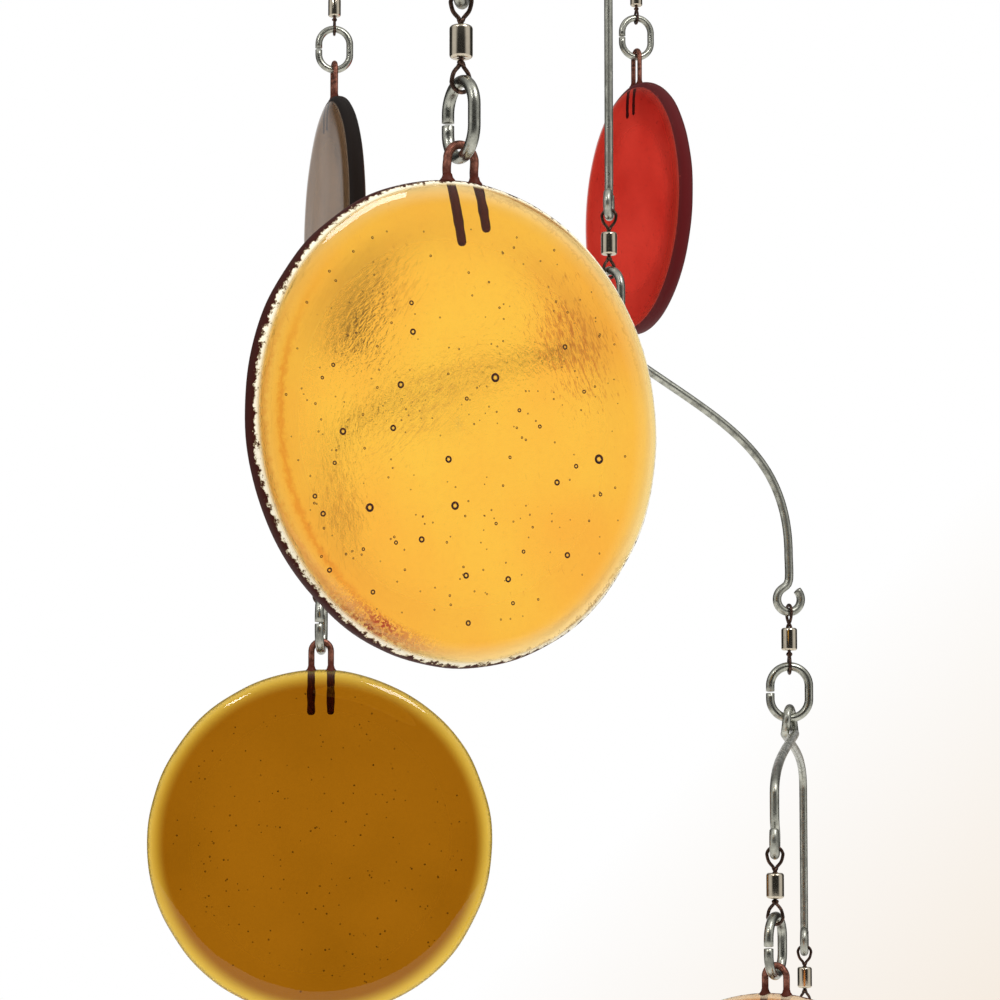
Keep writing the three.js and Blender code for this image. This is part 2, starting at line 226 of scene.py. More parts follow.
class MOBILE_PG_wires(bpy.types.PropertyGroup):
    """Sizes of the wires, rings and swivels"""

    arm: length_prop("Arm Wire", 2.0, "Diameter of the wire of the arms")
    ring: length_prop("Ring Wire", 2.0, "Diameter of the wire of the rings")
    copper: length_prop("Copper Wire", 1.4, "Diameter of the wire of the copper loops")
    eye: length_prop("Eye Wire", 0.7, "Diameter of the wire of the swivel eyes")
    pin: length_prop("Pin", 0.8, "Diameter of the pin that turns in a barrel")
    hanger_diameter: length_prop("Hanging Ring", 22, "Diameter of the hanging ring over its wire")
    ring_height: length_prop("Ring Height", 14, "Height of an oval ring over its wire")
    ring_width: length_prop("Ring Width", 11, "Width of an oval ring over its wire")
    loop_bore: length_prop("Loop Bore", 3.9, "Inside diameter of the loops bent in an arm")
    barrel_diameter: length_prop("Barrel Diameter", 3.7, "Diameter of a swivel's barrel")
    barrel_length: length_prop("Barrel Length", 5.3, "Length of a swivel's barrel")
    barrel_rounding: length_prop("Barrel Rounding", 0.6, "Rounding at the ends of a barrel")
    steel: colour_prop("Steel", "#B6B6AA", "Bare drawn steel of the arms and rings")
    nickel: colour_prop("Nickel", "#E0D4BE", "Nickel plating of the barrels")
    blackened: colour_prop("Blackened Wire", "#6A4F42", "Heat-blackened wire of the eyes")
    copper_colour: colour_prop("Copper", "#946050", "Copper wire above the glass")
    scale_colour: colour_prop("Copper Scale", "#4C2015", "Oxide scale on copper in the glass")


class MOBILE_PG_glass(bpy.types.PropertyGroup):
    """Sizes and colours of the glass slabs"""

    diameter: length_prop("Diameter", 76, "Diameter of a slab")
    thickness: length_prop("Thickness", 6, "Thickness of a slab")
    edge: length_prop("Edge Rounding", 7.5, "Width of the fire-polished rounding at the edge")
    waviness: length_prop("Waviness", 0.05, "Unevenness of the fire-polished faces")
    tiny_bubbles: IntProperty(
        name="Tiny Bubbles", description="Number of tiny bubbles in a slab", default=220, min=0
    )
    amber: colour_prop("Amber", "#FFC63E", "Amber glass")
    olive: colour_prop("Olive", "#A4660B", "Olive glass")
    smoke: colour_prop("Smoke", "#8C6A46", "Smoke glass")
    red: colour_prop("Red", "#DA3C2E", "Red glass")
    orange: colour_prop("Orange", "#E39A52", "Orange glass")
    honey: colour_prop("Honey", "#E2B455", "Honey glass")


class MOBILE_PG_stage(bpy.types.PropertyGroup):
    """Camera and light"""

    distance: length_prop("Camera Distance", 420, "From the camera to the plane of the front slab")
    pitch: angle_prop("Camera Pitch", 4, "How far the camera looks up")
    view_angle: angle_prop("View Angle", 21.17, "Width of the camera's view")
    surround: brightness_prop("Surround", 1.0, "Brightness of the white room")
    front_shade: brightness_prop(
        "Front Shade", 0.03, "What polished surfaces mirror from the unlit side of the room"
    )
    side_light: brightness_prop(
        "Side Light", 0.65, "What polished surfaces mirror from the sides of the room"
    )
    soft_box: FloatProperty(
        name="Soft Boxes", description="Power of a soft box", default=0.85, min=0.0, unit="POWER"
    )


# Mesh making


def circle_point(radius, angle, height=0.0):
    return Vector((radius * math.cos(angle), 0, height + radius * math.sin(angle)))


def arc(radius, start, end, steps, height=0.0):
    """Points on a circle in the XZ plane, from one angle in degrees to another."""
    return [
        circle_point(radius, math.radians(start + (end - start) * i / steps), height)
        for i in range(steps + 1)
    ]


def spread(points, spacing):
    """The points of a smooth path through the given ones, at about equal spacing."""
    ends = [2 * points[0] - points[1]], [2 * points[-1] - points[-2]]
    guides = ends[0] + list(points) + ends[1]
    fine = []
    for a, b, c, d in zip(guides, guides[1:], guides[2:], guides[3:]):
        steps = max(1, round((c - b).length / spacing))
        for i in range(steps):
            t = i / steps
            fine.append(
                0.5
                * (
                    2 * b
                    + (c - a) * t
                    + (2 * a - 5 * b + 4 * c - d) * t * t
                    + (3 * b - a - 3 * c + d) * t**3
                )
            )
    return fine + [points[-1].copy()]


def tube(path, diameter, sides, closed=False, scales=None, crown=0.35):
    """A round wire along a path, with slightly crowned ends, as vertices and faces."""
    count = len(path)
    tangents = []
    for i in range(count):
        before = path[i - 1] if closed or i else path[i]
        after = path[(i + 1) % count] if closed or i < count - 1 else path[i]
        tangents.append((after - before).normalized())
    side = tangents[0].orthogonal().normalized()
    rims = []
    for i, (point, tangent) in enumerate(zip(path, tangents)):
        side = (side - side.dot(tangent) * tangent).normalized()
        across = tangent.cross(side)
        radius = diameter / 2 * (scales[i] if scales else 1)
        rims.append((point, tangent, side, across, radius))
    if not closed:
        bends = [(math.sin(a), math.cos(a)) for a in (math.pi / 8, math.pi / 4, math.pi * 3 / 8)]
        first, final = rims[0], rims[-1]
        lead = [
            (first[0] - first[1] * first[4] * crown * out, *first[1:4], first[4] * shrink)
            for out, shrink in reversed(bends)
        ]
        tail = [
            (final[0] + final[1] * final[4] * crown * out, *final[1:4], final[4] * shrink)
            for out, shrink in bends
        ]
        rims = lead + rims + tail
    verts = [
        point + radius * (side * math.cos(a) + across * math.sin(a))
        for point, tangent, side, across, radius in rims
        for a in (2 * math.pi * k / sides for k in range(sides))
    ]
    faces = []
    last = len(rims) if closed else len(rims) - 1
    twist = 0
    if closed:
        first = rims[0][2]
        angle = math.atan2(rims[-1][3].dot(first), rims[-1][2].dot(first))
        twist = round(angle / (2 * math.pi / sides))
    for i in range(last):
        j = (i + 1) % len(rims)
        shift = twist if closed and j == 0 else 0
        for k in range(sides):
            n = (k + 1) % sides
            faces.append((i * sides + k, i * sides + n,
                          j * sides + (n - shift) % sides, j * sides + (k - shift) % sides))
    if not closed:
        for rim, flip in ((0, True), (len(rims) - 1, False)):
            loop = [rim * sides + k for k in range(sides)]
            faces.append(tuple(reversed(loop)) if flip else tuple(loop))
    return verts, faces


def turned(profile, sides, height_axis="Z"):
    """A turned shape from a profile of (radius, height) that starts and ends on the axis."""
    verts = []
    rims = []
    for radius, height in profile:
        start = len(verts)
        if radius < 1e-9:
            verts.append(Vector((0, 0, height)))
            rims.append([start] * sides)
            continue
        for k in range(sides):
            a = 2 * math.pi * k / sides
            verts.append(Vector((radius * math.cos(a), radius * math.sin(a), height)))
        rims.append(list(range(start, start + sides)))
    faces = []
    for low, high in zip(rims, rims[1:]):
        for k in range(sides):
            n = (k + 1) % sides
            face = []
            for corner in (low[k], low[n], high[n], high[k]):
                if corner not in face:
                    face.append(corner)
            if len(face) > 2:
                faces.append(tuple(face))
    if height_axis == "Y":
        verts = [Vector((v.x, v.z, v.y)) for v in verts]
    return verts, faces


def rounded(centre, radius, start, end, steps):
    """A rounded corner of a profile, as (radius, height) points."""
    return [
        (centre[0] + radius * math.cos(math.radians(start + (end - start) * i / steps)),
         centre[1] + radius * math.sin(math.radians(start + (end - start) * i / steps)))
        for i in range(steps + 1)
    ]


def make_piece(name, parts, materials, place, body, node):
    """One object from parts of (vertices, faces, material number), riding on its body."""
    mesh = bpy.data.meshes.new(name)
    verts, faces, numbers = [], [], []
    for part_verts, part_faces, number in parts:
        base = len(verts)
        verts += part_verts
        faces += [tuple(base + k for k in face) for face in part_faces]
        numbers += [number] * len(part_faces)
    mesh.from_pydata(verts, [], faces)
    for material in materials:
        mesh.materials.append(material)
    mesh.polygons.foreach_set("material_index", numbers)
    mesh.polygons.foreach_set("use_smooth", [True] * len(faces))
    tidy = bmesh.new()
    tidy.from_mesh(mesh)
    bmesh.ops.recalc_face_normals(tidy, faces=tidy.faces)
    tidy.to_mesh(mesh)
    tidy.free()
    mesh.update()
    piece = bpy.data.objects.new(name, mesh)
    bpy.context.scene.collection.objects.link(piece)
    piece.matrix_world = place
    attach(piece, body)
    if node:
        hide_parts(node)
    return piece


# Places, each from the middle of the wire that an item hangs on


def barrel_bottom(wires):
    return EYE_REACH + wires.barrel_length


def ring_top(wires):
    return barrel_bottom(wires) + EYE_REACH


def ring_bottom(wires):
    return ring_top(wires) + wires.ring_height - wires.ring


def apex_top(wires):
    return ring_bottom(wires) - (wires.ring + wires.arm) / 2 - LINK_GAP


def copper_top(wires):
    return ring_bottom(wires) - (wires.ring + wires.copper) / 2 - LINK_GAP


def placed(wires, item_name, down, heading):
    """A place below the wire that an item hangs on, turned to a heading in degrees."""
    place = TURNS[item_name] + Vector((0, 0, barrel_bottom(wires) - down))
    return Matrix.Translation(place) @ Matrix.Rotation(math.radians(heading), 4, "Z")


def slab_middle(wires, sizes, item):
    """The middle of a slab, which hangs by the copper loop at its edge."""
    down = copper_top(wires) + item.rise + sizes.diameter / 2
    return placed(wires, item.name, down, item.heading)


# Materials


def result(node):
    """The output of a node that the next one takes."""
    colour = getattr(node, "data_type", "") == "RGBA"
    return node.outputs[2 if colour else 0]


def add(tree, kind, inputs=None, **settings):
    """Adds one shader node. An input takes a value, a socket, or a node to link from."""
    node = tree.nodes.new("ShaderNode" + kind)
    for name, value in settings.items():
        setattr(node, name, value)
    for socket, value in (inputs or {}).items():
        if isinstance(value, bpy.types.Node):
            tree.links.new(result(value), node.inputs[socket])
        elif isinstance(value, bpy.types.NodeSocket):
            tree.links.new(value, node.inputs[socket])
        else:
            node.inputs[socket].default_value = value
    return node


def between(tree, value, low, high, soft):
    """1 where a value lies between two others, falling to 0 over a soft border."""
    rise = add(tree, "MapRange", {0: value, 1: low - soft, 2: low + soft})
    fall = add(tree, "MapRange", {0: value, 1: high + soft, 2: high - soft})
    return add(tree, "Math", {0: rise, 1: fall}, operation="MULTIPLY")


def all_of(tree, *masks):
    """The product of several masks."""
    product = masks[0]
    for mask in masks[1:]:
        product = add(tree, "Math", {0: product, 1: mask}, operation="MULTIPLY")
    return product


def coated(tree, ground, *coats):
    """A ground colour with coats over it, each a mask and the colour that shows where it is 1."""
    for mask, colour in coats:
        ground = add(tree, "Mix", {0: mask, 6: ground, 7: colour}, data_type="RGBA")
    return ground


def new_material(name):
    material = bpy.data.materials.new(name)
    material.use_nodes = True
    material.node_tree.nodes.clear()
    return material, material.node_tree


def full(colour, factor=1.0):
    """An opaque colour for a socket, from a hex value or a linear colour."""
    channels = linear(colour) if isinstance(colour, str) else colour
    return [*(min(1.0, channel * factor) for channel in channels), 1.0]


def in_millimetres(tree):
    coordinates = add(tree, "TexCoord").outputs["Object"]
    return add(tree, "VectorMath", {0: coordinates, "Scale": 1 / MM}, operation="SCALE")


def surfaced(tree, inputs):
    shader = add(tree, "BsdfPrincipled", inputs)
    add(tree, "OutputMaterial", {"Surface": shader})


def bare_steel_wire(name, colour, roughness):
    """Bare drawn steel wire: pewter grey, with a dull mottled film and fine nicks that break up
    its long highlights."""
    material, tree = new_material(name)
    place = in_millimetres(tree)
    film = add(tree, "TexNoise", {"Vector": place, "Scale": 0.5, "Detail": 5.0})
    # Nicks of about 0.3 mm
    nicks = add(
        tree, "TexNoise", {"Vector": place, "Scale": 3.3, "Detail": 4.0, "Roughness": 0.65}
    )
    spread_film = add(tree, "MapRange", {0: film, 1: 0.3, 2: 0.7})
    pits = add(tree, "MapRange", {0: nicks, 1: 0.42, 2: 0.3})
    tint = coated(
        tree, full(colour, 0.5), (spread_film, full(colour, 1.2)), (pits, full(colour, 0.3))
    )
    rough = add(tree, "MapRange", {0: spread_film, 3: roughness + 0.12, 4: roughness - 0.06})
    bump = add(tree, "Bump", {"Height": nicks, "Strength": 0.5, "Distance": 0.05 * MM})
    surfaced(tree, {"Base Color": tint, "Metallic": 1.0, "Roughness": rough, "Normal": bump})
    return material


def nickel_plate(colour):
    """Bright nickel plate on turned brass: warm and mirror-like, with faint lathe rings."""
    material, tree = new_material("nickel_plated_turned_brass")
    place = in_millimetres(tree)
    # Lathe rings about 0.2 mm apart
    rings = add(
        tree, "TexWave", {"Vector": place, "Scale": 1.6, "Distortion": 0.6}, bands_direction="Z"
    )
    tarnish = add(tree, "TexNoise", {"Vector": place, "Scale": 1.2, "Detail": 3.0})
    tint = coated(tree, full(colour, 0.68), (tarnish, full(colour)))
    bump = add(tree, "Bump", {"Height": rings.outputs[1], "Strength": 0.1, "Distance": 0.02 * MM})
    surfaced(tree, {"Base Color": tint, "Metallic": 1.0, "Roughness": 0.12, "Normal": bump})
    return material


def blackened_wire(colour):
    """Brass wire blackened by heat: brown-black, worn to dull metal in patches."""
    material, tree = new_material("heat_blackened_brass_wire")
    place = in_millimetres(tree)
    wear = add(tree, "TexNoise", {"Vector": place, "Scale": 1.5, "Detail": 5.0})
    patch = add(tree, "MapRange", {0: wear, 1: 0.5, 2: 0.72})
    tint = coated(tree, full(colour, 0.3), (patch, full(colour, 1.6)))
    surfaced(tree, {"Base Color": tint, "Metallic": 0.85, "Roughness": 0.36})
    return material


def fired_copper(colour, scale_colour, rise):
    """Copper wire after a kiln firing: rosy brown metal at the bow, black oxide by the glass."""
    material, tree = new_material(f"kiln_fired_copper_{round(rise / MM * 100)}")
    place = in_millimetres(tree)
    height = add(tree, "SeparateXYZ", {0: place}).outputs[2]
    blotch = add(tree, "TexNoise", {"Vector": place, "Scale": 1.1, "Detail": 5.0})
    edge = add(tree, "Math", {0: blotch, 1: 3.0, 2: height}, operation="MULTIPLY_ADD")
    glass_top = -rise / MM + 1.5
    bare = add(tree, "MapRange", {0: edge, 1: glass_top + 0.9, 2: glass_top + 3.0})
    mottle = add(tree, "MapRange", {0: blotch, 1: 0.35, 2: 0.65})
    rosy = coated(tree, full(colour, 0.3), (mottle, full(colour, 1.15)))
    tint = coated(tree, full(scale_colour), (bare, rosy))
    metal = add(tree, "MapRange", {0: bare, 3: 0.0, 4: 0.85})
    bump = add(tree, "Bump", {"Height": blotch, "Strength": 0.4, "Distance": 0.1 * MM})
    surfaced(
        tree,
        {
            "Base Color": tint,
            "Metallic": metal,
            "Roughness": 0.45,
            "Specular IOR Level": 0.1,
            "Normal": bump,
        },
    )
    return material


# deep: the colour of the clouds and of the zone inside the rim. rim: the thin edge, a painted glow
# standing in for light bent through the rounded edge. side: the outer edge, painted dark as shade
# where the rounded edge bends light away, from side_start (mm through the thickness, back is
# positive). bubble: the painted shade at the rim of a bubble. crust, stains: how strong they are;
# stains also turns on the painted strokes. ripple: height of the ripples that the kiln shelf left
# in the back, in mm. satin: roughness of that back.
Look = namedtuple("Look", "deep rim side side_start bubble crust stains ripple satin")
LOOKS = {
    "amber": Look("#FCAC34", "#FFE9A8", "#3A1610", -1.3, "#3E1808", 1.0, 1.0, 0.045, 0.03),
    "olive": Look("#935A06", "#FAD44C", "#B08A1E", 2.2, "#4A2404", 0.1, 0.0, 0.03, 0.03),
    "smoke": Look("#74583E", "#A89684", "#1C1613", -2.9, "#30241C", 0.1, 0.0, 0.005, 0.05),
    "red": Look("#B41A10", "#E05A44", "#54181A", -2.6, "#50100C", 0.1, 0.0, 0.005, 0.05),
    "orange": Look("#CF7A30", "#F3CB98", "#5B2A16", -0.5, "#5A2810", 0.5, 0.3, 0.05, 0.05),
    "honey": Look("#CE9A3C", "#F5DC9C", "#51301A", -0.5, "#5A3A10", 0.5, 0.3, 0.05, 0.05),
}


# Patches of painted strokes, painted refraction of the slabs that hang behind the rippled back:
# middle and half size in mm, lean in degrees
PaintedRefractionPatch = namedtuple("PaintedRefractionPatch", "middle half lean colour strength")
PAINTED_REFRACTION_PATCHES = (
    PaintedRefractionPatch((21.0, 13.0), (10.0, 16.0), 24, "#B04A16", 0.6),
    PaintedRefractionPatch((-13.5, 19.5), (6.5, 8.5), -32, "#8A4A14", 0.25),
    PaintedRefractionPatch((-8.0, 2.0), (6.0, 22.0), -46, "#C88A34", 0.4),
    PaintedRefractionPatch((-23.0, -15.0), (5.0, 13.0), 6, "#B4721E", 0.4),
)


def painted_refraction_strokes(tree, place, zone):
    """1 on the painted strokes of a patch, painted refraction of what hangs behind, thinning out
    towards the patch's border.
    """
    local = add(
        tree,
        "Mapping",
        {
            "Vector": place,
            "Location": (zone.middle[0], 0.0, zone.middle[1]),
            "Rotation": (0.0, math.radians(-zone.lean), 0.0),
        },
        vector_type="TEXTURE",
    )
    # Strokes are about 0.4 mm wide and 2 mm long
    stretched = add(tree, "VectorMath", {0: local, 1: (1.7, 0.0, 0.4)}, operation="MULTIPLY")
    strokes = add(
        tree,
        "TexNoise",
        {"Vector": stretched, "Scale": 1.25, "Detail": 4.0, "Roughness": 0.62, "Distortion": 0.8},
    )
    shares = (1 / zone.half[0], 0.0, 1 / zone.half[1])
    inside = add(tree, "VectorMath", {0: local, 1: shares}, operation="MULTIPLY")
    reach = add(tree, "VectorMath", {0: inside}, operation="LENGTH").outputs["Value"]
    fade = add(tree, "MapRange", {0: reach, 1: 0.35, 2: 1.05, 3: 0.04, 4: -0.13})
    dense = add(tree, "Math", {0: strokes, 1: fade}, operation="ADD")
    return add(tree, "MapRange", {0: dense, 1: 0.55, 2: 0.61, 4: zone.strength})


def fused_glass(name, colour, sizes, look, seed):
    """Fused sheet glass, fire-polished in front and rippled by the kiln shelf at the back, so that
    what hangs behind it breaks up into short strokes round the slab; on some slabs such strokes are
    also painted in, as painted refraction. Its outer edge is painted dark, as painted shade where
    the rounded edge bends light away, with a pale crust where the sheets met."""
    material, tree = new_material(f"fused_{name}_glass")
    place = in_millimetres(tree)
    across, through, up = add(tree, "SeparateXYZ", {0: place}).outputs
    flat = add(tree, "CombineXYZ", {0: across, 2: up})
    radius = add(tree, "VectorMath", {0: flat}, operation="LENGTH").outputs["Value"]
    angle = add(tree, "Math", {0: up, 1: across}, operation="ARCTAN2")
    shifted = add(tree, "VectorMath", {0: place, 1: (seed * 7.3, seed * 3.1, 0)}, operation="ADD")
    cloud = add(tree, "TexNoise", {"Vector": shifted, "Scale": 0.045, "Detail": 3.0})
    # Grains of about 1 mm, down to 0.1 mm
    jag = add(
        tree, "TexNoise", {"Vector": shifted, "Scale": 0.9, "Detail": 6.0, "Roughness": 0.72}
    )
    edge = sizes.diameter / 2 / MM
    outside = add(
        tree,
        "Math",
        {0: 1.0, 1: add(tree, "NewGeometry").outputs["Backfacing"]},
        operation="SUBTRACT",
    )

    # The body, with slow clouds and a paler thin edge, a painted glow of light bent through the
    # rounded edge
    outer = add(tree, "MapRange", {0: radius, 1: 0.3 * edge, 2: 0.9 * edge, 4: 0.3})
    deep = add(
        tree,
        "Math",
        {0: add(tree, "MapRange", {0: cloud, 1: 0.4, 2: 0.7, 4: 0.55}), 1: outer},
        operation="ADD",
    )
    fleck = add(tree, "MapRange", {0: jag, 1: 0.5, 2: 0.72, 4: 0.25})
    # Painted light: the pale edge stands in for the glow of light bent through the rounded edge
    rim = add(
        tree,
        "MapRange",
        {0: radius, 1: edge - 4.2, 2: edge, 4: 0.95},
        interpolation_type="SMOOTHSTEP",
    )
    coats = [(deep, full(look.deep)), (fleck, full(look.deep, 0.85)), (rim, full(look.rim))]

    # An orange line on the left where the upper sheet ends, rusty flecks low on the left, thin
    # brown lines low and high on the right, and patches of painted strokes, painted refraction of
    # the slabs behind
    if look.stains:
        wander = add(tree, "Math", {0: jag, 1: 2.6, 2: radius}, operation="MULTIPLY_ADD")
        left = add(
            tree,
            "Math",
            {0: between(tree, angle, 2.7, 4.0, 0.25), 1: between(tree, angle, -4.0, -2.2, 0.2)},
            operation="MAXIMUM",
        )
        line = all_of(tree, between(tree, wander, edge - 3.1, edge - 2.4, 0.45), left)
        specks = add(
            tree, "TexNoise", {"Vector": shifted, "Scale": 1.5, "Detail": 5.0, "Roughness": 0.75}
        )
        specks = add(tree, "MapRange", {0: specks, 1: 0.46, 2: 0.51})
        arc_place = between(tree, angle, -2.22, -1.86, 0.16)
        rust = all_of(
            tree, specks, arc_place, between(tree, radius, edge - 3.9, edge - 1.9, 0.5), look.stains
        )
        low_right = between(tree, angle, -1.32, -0.62, 0.12)
        thin = all_of(
            tree, between(tree, wander, edge + 0.1, edge + 0.35, 0.12), low_right, look.stains
        )
        high_right = between(tree, angle, 0.25, 1.5, 0.15)
        seam = all_of(tree, between(tree, wander, edge - 0.75, edge - 0.55, 0.14), high_right, 0.6)
        coats += [(line, full("#E2761A")), (rust, full("#A23009"))]
        coats += [(thin, full("#8A6226")), (seam, full("#B07A30"))]
        # Painted refraction: strokes standing in for the slabs behind, seen through the rippled
        # back
        coats += [(painted_refraction_strokes(tree, place, zone), full(zone.colour)) for zone in PAINTED_REFRACTION_PATCHES]

    # The dark side, painted shade where the rounded edge bends light away, with its jagged front
    # line, and the pale crust in front of it
    ragged = add(tree, "Math", {0: jag, 1: 3.4, 2: -1.7}, operation="MULTIPLY_ADD")
    back = add(tree, "Math", {0: through, 1: ragged}, operation="ADD")
    on_side = add(tree, "MapRange", {0: radius, 1: edge - 2.2, 2: edge - 1.6})
    behind = add(tree, "MapRange", {0: back, 1: look.side_start - 0.12, 2: look.side_start + 0.12})
    side = all_of(tree, on_side, behind, outside)
    in_front = add(tree, "MapRange", {0: back, 1: look.side_start + 0.1, 2: look.side_start - 0.1})
    near_edge = add(
        tree,
        "MapRange",
        {0: radius, 1: edge - 1.3, 2: edge - 0.5},
        interpolation_type="SMOOTHSTEP",
    )
    not_back = add(tree, "MapRange", {0: through, 1: 2.4, 2: 1.8})
    crust = all_of(tree, in_front, near_edge, not_back, outside, look.crust)
    coats += [(crust, full("#FBF3DC")), (side, full(look.side))]
    tint = coated(tree, full(colour), *coats)

    # Ripples lie round the slab, about 0.6 mm apart, and only in the back. The front has a slow
    # swell.
    way_out = add(tree, "VectorMath", {0: flat}, operation="NORMALIZE")
    round_it = add(
        tree,
        "VectorMath",
        {0: way_out, 1: (9.0, 9.0, 9.0), 2: add(tree, "CombineXYZ", {1: radius})},
        operation="MULTIPLY_ADD",
    )
    ripple = add(
        tree,
        "TexNoise",
        {"Vector": round_it, "Scale": 1.6, "Detail": 3.0, "Roughness": 0.6, "Distortion": 0.5},
    )
    at_back = add(tree, "MapRange", {0: through, 1: 0.5, 2: 2.0})
    swell = add(tree, "TexNoise", {"Vector": shifted, "Scale": 0.1, "Detail": 1.0})
    relief = add(
        tree,
        "Math",
        {0: swell, 1: 1.5, 2: all_of(tree, ripple, at_back)},
        operation="MULTIPLY_ADD",
    )
    bump = add(tree, "Bump", {"Height": relief, "Strength": 1.0, "Distance": look.ripple * MM})
    hidden = all_of(tree, crust, 0.85)
    for mask in (side, all_of(tree, rust, 0.9)) if look.stains else (side,):
        hidden = add(tree, "Math", {0: hidden, 1: mask}, operation="MAXIMUM")
    clear = add(tree, "Math", {0: 1.0, 1: hidden}, operation="SUBTRACT")
    satin = add(
        tree,
        "MapRange",
        {0: radius, 1: 0.55 * edge, 2: 0.78 * edge, 3: look.satin, 4: 10 * look.satin},
    )
    rough = add(
        tree,
        "Math",
        {0: all_of(tree, hidden, 0.6), 1: all_of(tree, at_back, satin)},
        operation="MAXIMUM",
    )
    gloss = coated(tree, full("#D0D0D0"), (side, full("#000000")))
    surfaced(
        tree,
        {
            "Base Color": tint,
            "Roughness": rough,
            "IOR": 1.5,
            "Transmission Weight": clear,
            "Specular Tint": gloss,
            "Normal": bump,
        },
    )
    return material


def trapped_air(name, colour):
    """Air trapped in glass: clear in the middle, dark at the rim, where light is turned away. The
    rim is drawn dark, so the air keeps its own IOR."""
    material, tree = new_material(f"air_bubble_in_{name}_glass")
    facing = add(tree, "LayerWeight", {"Blend": 0.5}).outputs["Facing"]
    clear = add(tree, "MapRange", {0: facing, 1: 0.17, 2: 0.06})
    tint = coated(tree, full(colour), (clear, full("#FFFFFF")))
    surfaced(
        tree, {"Base Color": tint, "Roughness": 0.0, "IOR": 1.0, "Transmission Weight": clear}
    )
    return material


# Operators


class MOBILE_OT_stage(bpy.types.Operator):
    """Makes the white room, the floor, the soft boxes and the camera"""

    bl_idname = "mobile.stage"
    bl_label = "Stage"

    def execute(self, context):
        stage = context.scene.mobile_stage
        scene = context.scene
        scene.view_settings.view_transform = "Standard"
        scene.view_settings.look = "None"

        world = bpy.data.worlds.new("white_room")
        scene.world = world
        world.use_nodes = True
        tree = world.node_tree
        tree.nodes.clear()
        # Mirror-like surfaces see a lit wall behind the mobile, bright sides, a soft ceiling and a
        # dark room in front of it
        direction = add(tree, "TexCoord").outputs["Generated"]
        axes = add(tree, "SeparateXYZ", {0: direction}).outputs
        wall = add(tree, "MapRange", {0: axes[1], 1: 0.84, 2: 0.99, 4: 0.85})
        sides = all_of(tree, between(tree, axes[1], -0.68, 0.12, 0.14), stage.side_light)
        ceiling = add(tree, "MapRange", {0: axes[2], 1: 0.3, 2: 0.8, 4: 0.3})
        mirrored = add(tree, "Math", {0: stage.front_shade, 1: wall}, operation="ADD")
        for part in (sides, ceiling):
            mirrored = add(tree, "Math", {0: mirrored, 1: part}, operation="ADD")
        # Rays that pass through glass count as glossy too, but see the white room
        ray = add(tree, "LightPath").outputs
        reflected = add(
            tree,
            "Math",
            {0: ray["Is Glossy Ray"], 1: ray["Is Transmission Ray"]},
            operation="SUBTRACT",
        )
        brightness = add(tree, "Mix", {0: reflected, 2: stage.surround, 3: mirrored})
        # The wall behind the mobile is warmer low on the right
        slant = add(tree, "Math", {0: axes[0], 1: axes[2]}, operation="SUBTRACT")
        low_right = add(tree, "MapRange", {0: slant, 1: 0.1, 2: 0.29})
        far_side = add(tree, "MapRange", {0: axes[1], 1: 0.75, 2: 0.95})
        warmth = all_of(tree, low_right, far_side)
        shade = coated(tree, full("#FFFFFF"), (warmth, full("#F6EDE2")))
        light = add(tree, "Background", {0: shade, 1: brightness})
        add(tree, "OutputWorld", {0: light})

        floor_verts, floor_faces = turned([(0, 0), (FLOOR_RADIUS, 0)], 96)
        floor_mesh = bpy.data.meshes.new("floor")
        floor_mesh.from_pydata(floor_verts, [], floor_faces)
        floor = bpy.data.objects.new("floor", floor_mesh)
        floor.location.z = CAD_BOX[0][2] - FLOOR_DROP
        scene.collection.objects.link(floor)
        paint, tree = new_material("matt_white_floor_paint")
        mottle = add(tree, "TexNoise", {"Scale": 3.0})
        tint = coated(tree, full("#F4F3F1"), (mottle, full("#FAF9F7")))
        surfaced(tree, {"Base Color": tint, "Roughness": 0.9})
        floor_mesh.materials.append(paint)

        middle = TURNS["amber"] + VIEW_MIDDLE
        pitch = stage.pitch
        ahead = Vector((0, math.cos(pitch), math.sin(pitch)))
        camera_data = bpy.data.cameras.new("camera")
        camera_data.sensor_fit = "HORIZONTAL"
        camera_data.angle = stage.view_angle
        camera_data.clip_start = 10 * MM
        camera = bpy.data.objects.new("camera", camera_data)
        camera.location = middle - ahead * stage.distance
        camera.rotation_euler = (math.pi / 2 + pitch, 0, 0)
        scene.collection.objects.link(camera)
        scene.camera = camera

        for name, way, width, height, share in SOFT_BOXES:
            soft_box = bpy.data.lights.new(name, "AREA")
            soft_box.shape = "RECTANGLE"
            soft_box.size = width
            soft_box.size_y = height
            soft_box.energy = stage.soft_box * share
            lamp = bpy.data.objects.new(name, soft_box)
            lamp.location = middle + Vector(way) * LAMP_DISTANCE
            lamp.rotation_mode = "QUATERNION"
            lamp.rotation_quaternion = (-Vector(way)).to_track_quat("-Z", "Y")
            scene.collection.objects.link(lamp)
        return {"FINISHED"}


class MOBILE_OT_hanging_ring(bpy.types.Operator):
    """Makes the closed ring that the mobile hangs by"""

    bl_idname = "mobile.hanging_ring"
    bl_label = "Hanging Ring"

    def execute(self, context):
        wires = context.scene.mobile_wires
        radius = (wires.hanger_diameter - wires.arm) / 2
        path = arc(radius, 0, 360, 96, wires.arm / 2 - radius)[:-1]
        wire = tube(path, wires.arm, RING_SIDES, closed=True)
        make_piece(
            "hanging_ring_wire",
            [(*wire, 0)],
            [bpy.data.materials["drawn_steel_ring_wire"]],
            Matrix.Identity(4),
            "hanger",
            "hanging_ring",
        )
        return {"FINISHED"}


